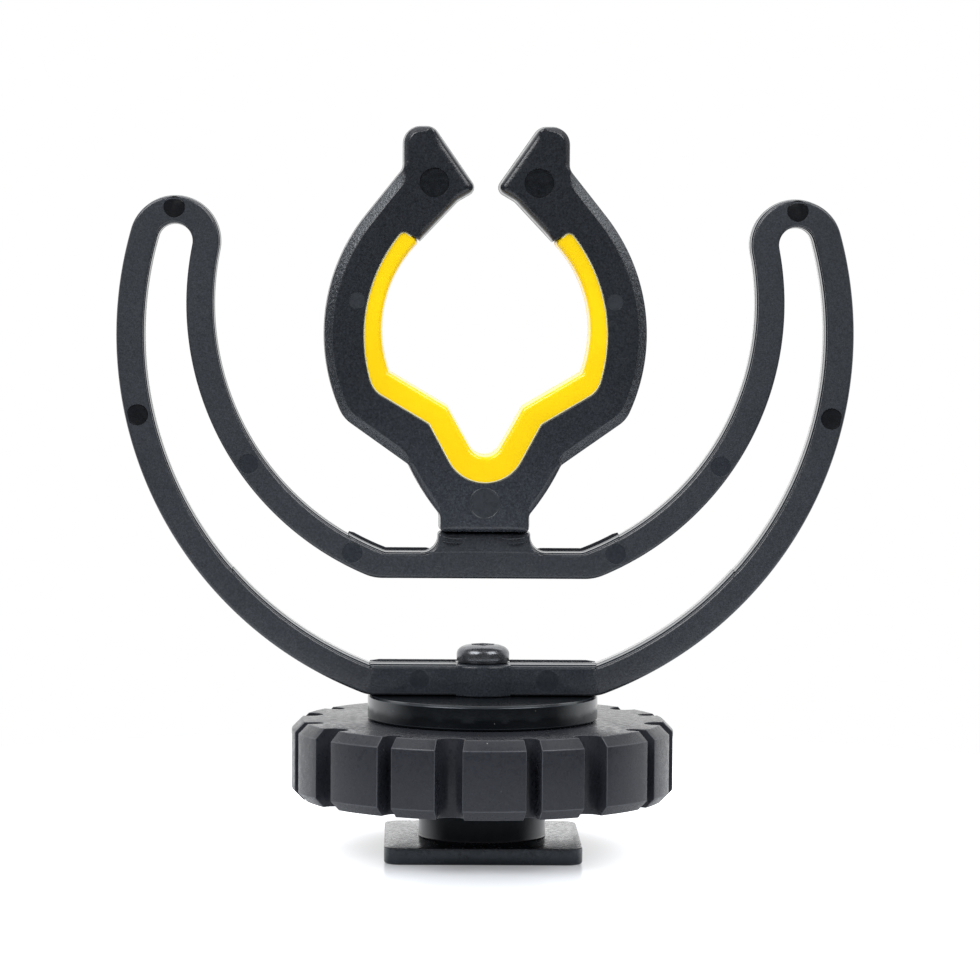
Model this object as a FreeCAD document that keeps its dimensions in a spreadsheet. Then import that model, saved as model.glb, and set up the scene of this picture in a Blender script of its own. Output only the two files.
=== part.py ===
import FreeCAD
import Part
import Sketcher
import math
import os
import types

# A lyre shock mount that holds a small microphone above a camera. A shoe foot with a knurled
# locking ring carries a disc, and a screw holds a springy moulded lyre on it. The lyre's inner
# cradle carries a snap clip with a soft lining. Millimetres and degrees, +Z up, the origin is the
# middle of the shoe plate's underside, and the front looks along -Y.

SIZES = {
    # shoe plate, which slides into a camera's accessory shoe
    "plate_width": 18.5,
    "plate_depth": 19.0,
    "plate_thickness": 1.55,
    "plate_corner_radius": 1.5,
    "plate_edge_round": 0.25,
    # countersunk screw that holds the plate to the neck
    "foot_screw_head_diameter": 5.6,
    "foot_screw_head_height": 1.3,
    "foot_screw_diameter": 3.0,
    "foot_screw_length": 5.6,
    "foot_screw_hex": 2.0,
    "foot_screw_hex_depth": 0.7,
    "foot_screw_recess": 0.05,
    # neck between the plate and the disc, with a thinner threaded stud above its collar
    "neck_diameter": 12.0,
    "neck_height": 3.8,
    "neck_chamfer": 0.25,
    "stud_shoulder": 1.0,
    "keyway_width": 2.2,
    "keyway_depth": 0.9,
    "tapped_hole_spare": 0.6,
    # clearances: thread flanks, screws in plain holes, keys, sliding collars
    "thread_clearance": 0.05,
    "screw_clearance": 0.15,
    "key_clearance": 0.1,
    "collar_clearance": 0.2,
    "ring_gap": 0.05,
    # clamp washer, keyed to the neck, which presses on the shoe's lips
    "washer_diameter": 20.0,
    "washer_thickness": 1.5,
    "washer_recess_depth": 0.9,
    # knurled locking ring
    "ring_diameter": 36.16,
    "ring_height": 7.35,
    "ring_skirt": 0.1,
    "ring_chamfer": 0.9,
    "ring_collar_depth": 2.9,
    "ring_repeats": 8,
    "ring_turn": 2.5,
    "slot_depth": 2.6,
    "wide_slot_width": 2.55,
    "wide_slot_angle": 31.7,
    "narrow_slot_width": 1.45,
    "narrow_slot_angle": 11.7,
    # disc that the lyre stands on, kept from turning by a pin
    "disc_diameter": 21.8,
    "disc_height": 2.35,
    "disc_chamfer": 0.2,
    "pin_diameter": 1.5,
    "pin_inset": 1.6,
    "pin_depth_in_neck": 1.6,
    "pin_depth_in_lyre": 1.2,
    "pin_end_gap": 0.1,
    # button-head screw through the lyre
    "lyre_screw_diameter": 3.0,
    "lyre_screw_length": 9.0,
    "lyre_screw_head_diameter": 5.0,
    "lyre_screw_head_height": 1.7,
    "lyre_screw_rim": 0.75,
    "lyre_screw_dome_share": 0.1934,
    "lyre_screw_crown": 2.6,
    "lyre_screw_hex": 2.0,
    "lyre_screw_hex_depth": 1.0,
    # outer cradle of the lyre: base bar, two arms, outer halves of the end loops
    "lyre_depth": 5.5,
    "base_bar_height": 3.0,
    "boss_diameter": 7.6,
    "arm_foot_reach": 10.9,
    "arm_bow_share": 0.1967,
    "arm_thickness": 2.7,
    "loop_reach": 29.2,
    "loop_height": 42.7,
    "loop_radius": 4.3,
    "loop_outer_angle": 15.5,
    "loop_inner_angle": 11.5,
    # inner cradle of the lyre: inner halves of the loops, arms, centre bar, stem and tongue
    "cradle_bar_lift": 11.05,
    "cradle_bar_height": 2.55,
    "cradle_foot_reach": 10.4,
    "cradle_arm_bow_share": 0.1829,
    "stem_half_width": 4.4,
    "stem_height": 1.9,
    "stem_fillet": 1.1,
    "tongue_neck_half_width": 1.6,
    "tongue_neck_height": 1.3,
    "tongue_head_half_width": 2.4,
    "tongue_head_height": 1.5,
    "tongue_depth": 3.6,
    # snap clip: half widths are from the middle, heights from the clip's foot
    "clip_depth": 7.5,
    "clip_chamfer": 0.8,
    "clip_foot_half_width": 4.3,
    "clip_foot_round": 0.9,
    "waist_height": 1.65,
    "waist_bow_share": 0.0309,
    "flexure_half_width": 7.25,
    "flexure_height": 6.3,
    # bore that grips the microphone: the lining's face, its seat in the jaw and the jaw's back
    # are arcs, each with its own radius, and each widest a little lower than the one inside it
    "bore_half_width": 9.7,
    "bore_height": 19.05,
    "bore_radius": 11.51,
    "lining_thickness": 1.79,
    "lining_seat_drop": 0.52,
    "lining_seat_radius": 15.2,
    "jaw_thickness": 3.76,
    "jaw_back_drop": 0.4,
    "jaw_back_radius": 17.87,
    # jaw: how far down its back arc starts and how far up it ends, then the horn
    "flank_drop": 8.06,
    "flank_round": 3.0,
    "jaw_high_rise": 11.13,
    "horn_half_width": 7.88,
    "horn_foot_round": 1.2,
    "horn_rise": 4.0,
    "horn_round": 1.7,
    "horn_top_flat": 1.08,
    "horn_face_round": 1.3,
    "nose_half_width": 1.0,
    "nose_drop": 6.0,
    "nose_round": 0.6,
    "nose_back_half_width": 2.65,
    "nose_back_drop": 1.08,
    # soft lining: its bed between the flexures, then the cheeks and the ends of its arcs
    "lining_inset": 0.2,
    "bed_height": 7.25,
    "bed_half_width": 1.41,
    "bed_rise": 0.85,
    "bed_bow_share": 0.1373,
    "bed_thickness": 2.6,
    "bed_seat_half_width": 3.45,
    "bed_seat_rise": 2.05,
    "bed_seat_bow_share": 0.1358,
    "knee_half_width": 3.5,
    "knee_rise": 1.65,
    "knee_seat_half_width": 5.33,
    "knee_seat_height": 10.2,
    "cheek_drop": 3.95,
    "cheek_seat_drop": 5.23,
    "cheek_seat_round": 2.5,
    "lining_end_rise": 8.25,
    "lining_end_seat_rise": 9.92,
    # how far a cutting shape runs past what it cuts, and how near a corner is looked for
    "overrun": 1.0,
    "corner_reach": 0.05,
}

doc = FreeCAD.newDocument("ShockMount")
sheet = doc.addObject("Spreadsheet::Sheet", "Sizes")
for row, (alias, value) in enumerate(SIZES.items(), start=1):
    sheet.set("A%d" % row, alias)
    sheet.set("B%d" % row, str(value))
    sheet.setAlias("B%d" % row, alias)
doc.recompute()
s = types.SimpleNamespace(**{alias: float(sheet.get(alias)) for alias in SIZES})

# heights of the stack, from the shoe's floor up
plate_top = s.plate_thickness
neck_top = plate_top + s.neck_height
ring_bottom = neck_top - s.ring_skirt
ring_top = ring_bottom + s.ring_height
stud_top = ring_top + s.ring_gap
disc_top = stud_top + s.disc_height
base_bar_top = disc_top + s.base_bar_height
washer_top = ring_bottom + s.washer_recess_depth
washer_bottom = washer_top - s.washer_thickness
cradle_bar_bottom = disc_top + s.cradle_bar_lift
cradle_bar_top = cradle_bar_bottom + s.cradle_bar_height
clip_foot = cradle_bar_top + s.stem_height

# pieces that share a place: the stud and the pin, and the jaw round its lining
stud_radius = s.neck_diameter / 2 - s.stud_shoulder
pin_place = (s.pin_inset - stud_radius, 0)
lining_depth_text = "Sizes.clip_depth - 2 * Sizes.lining_inset"


def bind(thing, place, text):
    thing.setExpression(place, text)


def flat(point):
    return FreeCAD.Vector(point[0], point[1], 0)


def new_body(label):
    body = doc.addObject("PartDesign::Body", label)
    body.Label = label
    return body


def origin_part(body, role):
    return [feature for feature in body.Origin.OriginFeatures if feature.Role == role][0]


def new_sketch(body, name, role):
    sketch = body.newObject("Sketcher::SketchObject", name)
    sketch.AttachmentSupport = (origin_part(body, role), [""])
    sketch.MapMode = "FlatFace"
    return sketch


def join_ends(sketch, first, count):
    """Ties each piece of a closed outline to the next one."""
    for step in range(count):
        here = first + step
        after = first + (step + 1) % count
        pairs = [(a, b) for a in (1, 2) for b in (1, 2)]
        gap = lambda pair: (sketch.getPoint(here, pair[0]) - sketch.getPoint(after, pair[1])).Length
        a, b = min(pairs, key=gap)
        sketch.addConstraint(Sketcher.Constraint("Coincident", here, a, after, b))


def draw(sketch, start, moves):
    """A closed outline. A move is (corner,) for a straight side or (point on the arc, corner)."""
    first = sketch.GeometryCount
    here = start
    for move in moves:
        corner = move[-1]
        if len(move) == 2:
            piece = Part.Arc(flat(here), flat(move[0]), flat(corner))
        else:
            piece = Part.LineSegment(flat(here), flat(corner))
        sketch.addGeometry(piece, False)
        here = corner
    join_ends(sketch, first, sketch.GeometryCount - first)


def mirrored(start, moves):
    """The same outline on the other side of the middle plane."""
    turned = [tuple((-x, z) for x, z in move) for move in moves]
    return (-start[0], start[1]), turned


def both_sides(start, moves):
    """Closes a half outline, from one point on the middle plane to another, with its mirror image."""
    corners = [start] + [move[-1] for move in moves]
    back = []
    for number in range(len(moves) - 1, -1, -1):
        x, z = corners[number]
        middle = [(-point[0], point[1]) for point in moves[number][:-1]]
        back.append(tuple(middle + [(-x, z)]))
    return start, moves + back


def circle(sketch, centre, radius_text):
    edge = sketch.addGeometry(Part.Circle(flat(centre), FreeCAD.Vector(0, 0, 1), s.overrun), False)
    sketch.addConstraint(Sketcher.Constraint("Radius", edge, s.overrun))
    bind(sketch, "Constraints[%d]" % (sketch.ConstraintCount - 1), radius_text)
    for kind, place in (("DistanceX", centre[0]), ("DistanceY", centre[1])):
        sketch.addConstraint(Sketcher.Constraint(kind, -1, 1, edge, 3, place))
    return edge


def lift(sketch, height):
    sketch.AttachmentOffset = FreeCAD.Placement(FreeCAD.Vector(0, 0, height), FreeCAD.Rotation())


def pad(body, sketch, length_text, symmetric=False):
    feature = body.newObject("PartDesign::Pad", sketch.Name + "_pad")
    feature.Profile = sketch
    feature.SideType = "Symmetric" if symmetric else "One side"
    bind(feature, "Length", length_text)
    doc.recompute()
    return feature


def pocket(body, sketch, length_text, upward=False, symmetric=False):
    """Cuts down from the sketch, or up. A pocket that takes nothing away is an error."""
    before = body.Shape.Volume
    feature = body.newObject("PartDesign::Pocket", sketch.Name + "_pocket")
    feature.Profile = sketch
    feature.SideType = "Symmetric" if symmetric else "One side"
    feature.Reversed = upward
    bind(feature, "Length", length_text)
    doc.recompute()
    if not feature.Shape.Volume < before:
        raise ValueError(sketch.Name + " cuts nothing")
    return feature


def revolve(body, start, moves):
    sketch = new_sketch(body, body.Name + "_section", "XZ_Plane")
    draw(sketch, start, moves)
    feature = body.newObject("PartDesign::Revolution", body.Name + "_turned")
    feature.Profile = sketch
    feature.ReferenceAxis = (sketch, ["V_Axis"])
    doc.recompute()
    return feature


def extrude(label, start, moves, depth_text):
    """A moulded piece: an outline seen from the front, as deep as it is said to be."""
    body = new_body(label)
    sketch = new_sketch(body, label + "_outline", "XZ_Plane")
    draw(sketch, start, moves)
    pad(body, sketch, depth_text, symmetric=True)
    return body


def edge_names(shape, wanted):
    return ["Edge%d" % number for number, edge in enumerate(shape.Edges, start=1) if wanted(edge)]


def dress(body, kind, names, size_text):
    """Rounds or chamfers named edges of a body."""
    base = body.Tip
    feature = body.newObject("PartDesign::" + kind, body.Name + "_" + kind.lower())
    feature.Base = (base, names)
    bind(feature, "Radius" if kind == "Fillet" else "Size", size_text)
    doc.recompute()
    return feature


def round_corners(body, corner, size_text):
    """Rounds a corner of a moulded outline and its mirror image."""

    def wanted(edge):
        ends = [vertex.Point for vertex in edge.Vertexes]
        near = [math.hypot(abs(end.x) - corner[0], end.z - corner[1]) < s.corner_reach for end in ends]
        return len(ends) == 2 and all(near)

    dress(body, "Fillet", edge_names(body.Tip.Shape, wanted), size_text)


def hexagon(sketch, across_flats):
    corner = across_flats / math.sqrt(3)
    turns = [math.radians(60 * step) for step in range(6)]
    corners = [(corner * math.cos(turn), corner * math.sin(turn)) for turn in turns]
    draw(sketch, corners[0], [(point,) for point in corners[1:] + corners[:1]])


class Round:
    """A circle in the front view, known by its rightmost point, with faces at any distance inside."""

    def __init__(self, half_width, height, radius):
        self.centre = (half_width - radius, height)
        self.radius = radius

    def at_height(self, height, inside=0):
        radius = self.radius - inside
        return self.centre[0] + math.sqrt(radius ** 2 - (height - self.centre[1]) ** 2), height

    def rightmost(self):
        return self.centre[0] + self.radius, self.centre[1]

    def move_in(self, point, inside):
        share = (self.radius - inside) / self.radius
        return tuple(c + (p - c) * share for p, c in zip(point, self.centre))

    def runs_on_to(self, point, half_width):
        """Where the straight side that leaves the circle at a point reaches a half width."""
        across, up = point[0] - self.centre[0], point[1] - self.centre[1]
        return half_width, point[1] + (point[0] - half_width) * across / up


def round_through(first, second, third):
    found = Part.Arc(flat(first), flat(second), flat(third)).toShape().Curve
    return Round(found.Center.x + found.Radius, found.Center.y, found.Radius)


def bowed(start, end, share):
    """The middle of an arc that stands this share of the straight way off it, on its right."""
    across, up = end[0] - start[0], end[1] - start[1]
    return (start[0] + end[0]) / 2 + up * share, (start[1] + end[1]) / 2 - across * share


def on_loop(radius, angle):
    turn = math.radians(angle)
    centre_height = disc_top + s.loop_height
    return s.loop_reach + radius * math.cos(turn), centre_height + radius * math.sin(turn)


def slide(start, end, distance):
    """The point at a distance from start towards end."""
    length = math.hypot(end[0] - start[0], end[1] - start[1])
    return tuple(a + (b - a) * distance / length for a, b in zip(start, end))


def crossing(a, b, c, d):
    """Where the line through a and b meets the line through c and d."""
    across = (b[0] - a[0]) * (d[1] - c[1]) - (b[1] - a[1]) * (d[0] - c[0])
    along = ((c[0] - a[0]) * (d[1] - c[1]) - (c[1] - a[1]) * (d[0] - c[0])) / across
    return a[0] + along * (b[0] - a[0]), a[1] + along * (b[1] - a[1])


def shoe_plate():
    body = new_body("shoe_plate")
    sketch = new_sketch(body, "plate_outline", "XY_Plane")
    across, deep = s.plate_width / 2, s.plate_depth / 2
    corners = [(across, -deep), (across, deep), (-across, deep), (-across, -deep)]
    draw(sketch, corners[-1], [(corner,) for corner in corners])
    for kind, side, text in (("DistanceX", 0, "Sizes.plate_width"), ("DistanceY", 1, "Sizes.plate_depth")):
        size = s.plate_width if side == 0 else s.plate_depth
        sketch.addConstraint(Sketcher.Constraint(kind, side, 1, side, 2, size))
        bind(sketch, "Constraints[%d]" % (sketch.ConstraintCount - 1), text)
    sketch.addConstraint(Sketcher.Constraint("Horizontal", 0))
    sketch.addConstraint(Sketcher.Constraint("Horizontal", 2))
    sketch.addConstraint(Sketcher.Constraint("Vertical", 1))
    sketch.addConstraint(Sketcher.Constraint("Vertical", 3))
    sketch.addConstraint(Sketcher.Constraint("Symmetric", 0, 1, 2, 1, -1, 1))
    blank = pad(body, sketch, "Sizes.plate_thickness")
    upright = lambda edge: edge.BoundBox.ZLength > plate_top / 2
    dress(body, "Fillet", edge_names(blank.Shape, upright), "Sizes.plate_corner_radius")
    low = lambda edge: edge.BoundBox.ZMax < plate_top / 4
    dress(body, "Fillet", edge_names(body.Tip.Shape, low), "Sizes.plate_edge_round")
    # the screw's cone seats in the countersink, and its shank has room above that
    hole = new_sketch(body, "plate_hole", "XZ_Plane")
    shank = s.foot_screw_diameter / 2
    head = s.foot_screw_head_diameter / 2
    slope = s.foot_screw_head_height / (head - shank)
    mouth = head + s.foot_screw_recess / slope
    bore = shank + s.screw_clearance
    cone_top = (mouth - bore) * slope
    above = plate_top + s.overrun
    draw(hole, (0, 0), [((mouth, 0),), ((bore, cone_top),), ((bore, above),), ((0, above),), ((0, 0),)])
    groove = body.newObject("PartDesign::Groove", "plate_countersink")
    groove.Profile = hole
    groove.ReferenceAxis = (hole, ["V_Axis"])
    doc.recompute()
    return body


def foot_screw():
    body = new_body("foot_screw")
    low = s.foot_screw_recess
    shank = s.foot_screw_diameter / 2
    head = s.foot_screw_head_diameter / 2
    cone_top = low + s.foot_screw_head_height
    end = low + s.foot_screw_length
    path = [((head, low),), ((shank, cone_top),), ((shank, end),), ((0, end),), ((0, low),)]
    revolve(body, (0, low), path)
    socket = new_sketch(body, "foot_screw_socket", "XY_Plane")
    lift(socket, low)
    hexagon(socket, s.foot_screw_hex)
    pocket(body, socket, "Sizes.foot_screw_hex_depth", upward=True)
    return body


def neck():
    """Collar with a threaded stud above it, tapped from both ends, keyed at the back."""
    body = new_body("threaded_neck")
    collar, stud = s.neck_diameter / 2, stud_radius
    low_bore = s.foot_screw_diameter / 2 + s.thread_clearance
    top_bore = s.lyre_screw_diameter / 2 + s.thread_clearance
    low_depth = s.foot_screw_recess + s.foot_screw_length + s.tapped_hole_spare
    top_depth = base_bar_top - s.lyre_screw_length - s.tapped_hole_spare
    path = [
        ((collar - s.neck_chamfer, plate_top),),
        ((collar, plate_top + s.neck_chamfer),),
        ((collar, neck_top - s.neck_chamfer),),
        ((collar - s.neck_chamfer, neck_top),),
        ((stud, neck_top),),
        ((stud, stud_top),),
        ((top_bore, stud_top),),
        ((top_bore, top_depth),),
        ((0, top_depth),),
        ((0, low_depth),),
        ((low_bore, low_depth),),
        ((low_bore, plate_top),),
    ]
    revolve(body, (low_bore, plate_top), path)
    pin_hole = new_sketch(body, "neck_pin_hole", "XY_Plane")
    lift(pin_hole, stud_top)
    circle(pin_hole, pin_place, "Sizes.pin_diameter / 2")
    pocket(body, pin_hole, "Sizes.pin_depth_in_neck")
    keyway = new_sketch(body, "neck_keyway", "XY_Plane")
    lift(keyway, plate_top)
    half, inner, outer = s.keyway_width / 2, collar - s.keyway_depth, collar + s.overrun
    draw(keyway, (half, inner), [((half, outer),), ((-half, outer),), ((-half, inner),), ((half, inner),)])
    pocket(body, keyway, "Sizes.neck_height", upward=True)
    return body


def clamp_washer():
    """Flat washer with an inner tab in the neck's keyway, so it slides but can't turn."""
    body = new_body("clamp_washer")
    sketch = new_sketch(body, "washer_outline", "XY_Plane")
    lift(sketch, washer_bottom)
    circle(sketch, (0, 0), "Sizes.washer_diameter / 2")
    bore = s.neck_diameter / 2 + s.key_clearance
    half = s.keyway_width / 2 - s.key_clearance
    tip = s.neck_diameter / 2 - s.keyway_depth + s.key_clearance
    shoulder = math.sqrt(bore ** 2 - half ** 2)
    path = [((-half, tip),), ((-half, shoulder),), ((0, -bore), (half, shoulder)), ((half, tip),)]
    draw(sketch, (half, tip), path)
    pad(body, sketch, "Sizes.washer_thickness")
    return body


def slot_outline(sketch, angle, width):
    """One slot of the ring, seen from above: open at the rim, with a round floor."""
    turn = math.radians(angle)
    rim = s.ring_diameter / 2
    floor = rim - s.slot_depth
    half = width / 2

    def at(radius, side):
        x = radius * math.sin(turn) + side * math.cos(turn)
        y = side * math.sin(turn) - radius * math.cos(turn)
        return x, y

    start = at(rim + s.overrun, -half)
    path = [
        (at(floor + half, -half),),
        (at(floor, 0), at(floor + half, half)),
        (at(rim + s.overrun, half),),
        (start,),
    ]
    draw(sketch, start, path)


def locking_ring():
    body = new_body("locking_ring")
    rim, edge = s.ring_diameter / 2, s.ring_chamfer
    bore = stud_radius + s.thread_clearance
    collar = s.neck_diameter / 2 + s.collar_clearance
    recess = s.washer_diameter / 2 + s.key_clearance
    shoulder = ring_bottom + s.ring_collar_depth
    path = [
        ((rim - edge, ring_bottom),),
        ((rim, ring_bottom + edge),),
        ((rim, ring_top - edge),),
        ((rim - edge, ring_top),),
        ((bore, ring_top),),
        ((bore, shoulder),),
        ((collar, shoulder),),
        ((collar, washer_top),),
        ((recess, washer_top),),
        ((recess, ring_bottom),),
    ]
    revolve(body, (recess, ring_bottom), path)
    slots = []
    for name, angle, width in (
        ("wide", s.wide_slot_angle, s.wide_slot_width),
        ("narrow", s.narrow_slot_angle, s.narrow_slot_width),
    ):
        sketch = new_sketch(body, name + "_slot", "XY_Plane")
        lift(sketch, ring_bottom)
        slot_outline(sketch, s.ring_turn + angle, width)
        slots.append(pocket(body, sketch, "Sizes.ring_height", upward=True))
    around = body.newObject("PartDesign::PolarPattern", "slots_around")
    around.Originals = slots
    around.Axis = (origin_part(body, "Z_Axis"), [""])
    around.Angle = 360
    bind(around, "Occurrences", "Sizes.ring_repeats")
    body.Tip = around
    doc.recompute()
    return body


def platform_disc():
    body = new_body("platform_disc")
    rim, edge = s.disc_diameter / 2, s.disc_chamfer
    bore = s.lyre_screw_diameter / 2 + s.screw_clearance
    path = [
        ((rim - edge, stud_top),),
        ((rim, stud_top + edge),),
        ((rim, disc_top - edge),),
        ((rim - edge, disc_top),),
        ((bore, disc_top),),
        ((bore, stud_top),),
    ]
    revolve(body, (bore, stud_top), path)
    pin_hole = new_sketch(body, "disc_pin_hole", "XY_Plane")
    lift(pin_hole, disc_top)
    circle(pin_hole, pin_place, "Sizes.pin_diameter / 2")
    pocket(body, pin_hole, "Sizes.disc_height")
    return body


def locating_pin():
    body = new_body("locating_pin")
    sketch = new_sketch(body, "pin_outline", "XY_Plane")
    lift(sketch, stud_top - s.pin_depth_in_neck + s.pin_end_gap)
    circle(sketch, pin_place, "Sizes.pin_diameter / 2")
    holes = "Sizes.pin_depth_in_neck + Sizes.disc_height + Sizes.pin_depth_in_lyre"
    pad(body, sketch, holes + " - 2 * Sizes.pin_end_gap")
    return body


def lyre_screw():
    """Button-head screw, its domed head on the base bar and its tip in the neck."""
    body = new_body("lyre_screw")
    shank, head = s.lyre_screw_diameter / 2, s.lyre_screw_head_diameter / 2
    tip = base_bar_top - s.lyre_screw_length
    crown = base_bar_top + s.lyre_screw_head_height
    rim = (head, base_bar_top + s.lyre_screw_rim)
    flat_top = (s.lyre_screw_crown / 2, crown)
    path = [
        ((shank, tip),),
        ((shank, base_bar_top),),
        ((head, base_bar_top),),
        (rim,),
        (bowed(rim, flat_top, s.lyre_screw_dome_share), flat_top),
        ((0, crown),),
        ((0, tip),),
    ]
    revolve(body, (0, tip), path)
    socket = new_sketch(body, "lyre_screw_socket", "XY_Plane")
    lift(socket, crown)
    hexagon(socket, s.lyre_screw_hex)
    pocket(body, socket, "Sizes.lyre_screw_hex_depth")
    return body


def outer_cradle():
    """Base bar and outer arms of the lyre, up to the top of each end loop."""
    void = s.loop_radius - s.arm_thickness
    foot = (s.arm_foot_reach, disc_top)
    tip = on_loop(s.loop_radius, s.loop_outer_angle)
    middle = bowed(foot, tip, s.arm_bow_share)
    arm = round_through(foot, middle, tip)
    half_way = (90 + s.loop_outer_angle) / 2
    path = [
        (foot,),
        (middle, tip),
        (on_loop(s.loop_radius, half_way), on_loop(s.loop_radius, 90)),
        (on_loop(void, 90),),
        (on_loop(void, half_way), on_loop(void, s.loop_outer_angle)),
        (arm.move_in(middle, s.arm_thickness), arm.at_height(base_bar_top, s.arm_thickness)),
        ((0, base_bar_top),),
    ]
    body = extrude("lyre_outer_cradle", *both_sides((0, disc_top), path), "Sizes.lyre_depth")
    boss = new_sketch(body, "screw_boss", "XY_Plane")
    lift(boss, disc_top)
    circle(boss, (0, 0), "Sizes.boss_diameter / 2")
    pad(body, boss, "Sizes.base_bar_height")
    hole = new_sketch(body, "lyre_screw_hole", "XY_Plane")
    lift(hole, disc_top)
    circle(hole, (0, 0), "Sizes.lyre_screw_diameter / 2 + Sizes.screw_clearance")
    pocket(body, hole, "Sizes.base_bar_height", upward=True)
    pin_hole = new_sketch(body, "lyre_pin_hole", "XY_Plane")
    lift(pin_hole, disc_top)
    circle(pin_hole, pin_place, "Sizes.pin_diameter / 2")
    pocket(body, pin_hole, "Sizes.pin_depth_in_lyre", upward=True)
    return body


def draw_tongue(sketch):
    """Outline of the stem's T-shaped tongue, which the clip is moulded round."""
    root = clip_foot - s.overrun
    neck_end = clip_foot + s.tongue_neck_height
    head_end = neck_end + s.tongue_head_height
    path = [
        ((s.tongue_neck_half_width, root),),
        ((s.tongue_neck_half_width, neck_end),),
        ((s.tongue_head_half_width, neck_end),),
        ((s.tongue_head_half_width, head_end),),
        ((0, head_end),),
    ]
    draw(sketch, *both_sides((0, root), path))


def inner_cradle():
    """Inner arms of the lyre, hung from the loops, with the centre bar and the clip's stem."""
    void = s.loop_radius - s.arm_thickness
    foot = (s.cradle_foot_reach, cradle_bar_bottom)
    low_turn = 180 + s.loop_inner_angle
    half_way = (90 + low_turn) / 2
    tip = on_loop(void, low_turn)
    middle = bowed(foot, tip, s.cradle_arm_bow_share)
    arm = round_through(foot, middle, tip)
    path = [
        (foot,),
        (middle, tip),
        (on_loop(void, half_way), on_loop(void, 90)),
        (on_loop(s.loop_radius, 90),),
        (on_loop(s.loop_radius, half_way), on_loop(s.loop_radius, low_turn)),
        (arm.move_in(middle, s.arm_thickness), arm.at_height(cradle_bar_top, s.arm_thickness)),
        ((s.stem_half_width, cradle_bar_top),),
        ((s.stem_half_width, clip_foot),),
        ((0, clip_foot),),
    ]
    body = extrude("lyre_inner_cradle", *both_sides((0, cradle_bar_bottom), path), "Sizes.lyre_depth")
    round_corners(body, (s.stem_half_width, cradle_bar_top), "Sizes.stem_fillet")
    tongue = new_sketch(body, "tongue", "XZ_Plane")
    draw_tongue(tongue)
    pad(body, tongue, "Sizes.tongue_depth", symmetric=True)
    return body


def at_clip(half_width, height):
    return half_width, clip_foot + height


# arcs of the bore, from the lining's face outwards, on the right side
lining_height = clip_foot + s.bore_height
seat_half_width = s.bore_half_width + s.lining_thickness
bore = Round(s.bore_half_width, lining_height, s.bore_radius)
seat = Round(seat_half_width, lining_height - s.lining_seat_drop, s.lining_seat_radius)
jaw_back = Round(seat_half_width + s.jaw_thickness, lining_height - s.jaw_back_drop, s.jaw_back_radius)

# corners that the clip and its lining share, on the right side
flexure = at_clip(s.flexure_half_width, s.flexure_height)
knee_seat = at_clip(s.knee_seat_half_width, s.knee_seat_height)
knee = at_clip(s.knee_half_width, s.knee_seat_height + s.knee_rise)
bed_seat = at_clip(0, s.bed_height - s.bed_thickness)
bed_seat_side = (s.bed_seat_half_width, bed_seat[1] + s.bed_seat_rise)
bed_seat_bend = bowed(bed_seat, bed_seat_side, s.bed_seat_bow_share)
seat_cut = crossing(flexure, knee, bed_seat_side, knee_seat)
cheek_seat = seat.at_height(seat.centre[1] - s.cheek_seat_drop)
lining_end = bore.at_height(lining_height + s.lining_end_rise)
lining_end_seat = seat.at_height(seat.centre[1] + s.lining_end_seat_rise)


def chamfer_outside(body, places):
    """Chamfers the front and back edges that run through the places, on either side."""
    face = s.clip_depth / 2
    sides = [(1, 1), (1, -1), (-1, 1), (-1, -1)]
    marks = [Part.Vertex(a * x, b * face, z) for x, z in places for a, b in sides]
    near = lambda edge: any(edge.distToShape(mark)[0] < s.corner_reach for mark in marks)
    dress(body, "Chamfer", edge_names(body.Tip.Shape, near), "Sizes.clip_chamfer")


def clip_base():
    """Foot of the clip, moulded round the stem's tongue, up to the two flexures."""
    foot = at_clip(s.clip_foot_half_width, 0)
    waist = at_clip(s.clip_foot_half_width, s.waist_height)
    bulge = bowed(waist, flexure, s.waist_bow_share)
    path = [(foot,), (waist,), (bulge, flexure), (seat_cut,), (bed_seat_side,), (bed_seat_bend, bed_seat)]
    body = extrude("clip_base", *both_sides(at_clip(0, 0), path), "Sizes.clip_depth")
    chamfer_outside(body, [slide(foot, waist, s.waist_height / 2), bulge])
    low = lambda edge: edge.BoundBox.ZMax < clip_foot + s.corner_reach
    dress(body, "Fillet", edge_names(body.Tip.Shape, low), "Sizes.clip_foot_round")
    slot = new_sketch(body, "tongue_slot", "XZ_Plane")
    draw_tongue(slot)
    pocket(body, slot, "Sizes.tongue_depth", symmetric=True)
    return body


def base_lining():
    bed = at_clip(0, s.bed_height)
    bed_side = (s.bed_half_width, bed[1] + s.bed_rise)
    path = [
        (bed_seat_bend, bed_seat_side),
        (seat_cut,),
        (knee,),
        (bed_side,),
        (bowed(bed, bed_side, s.bed_bow_share), bed),
    ]
    return extrude("base_lining", *both_sides(bed_seat, path), lining_depth_text)


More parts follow.
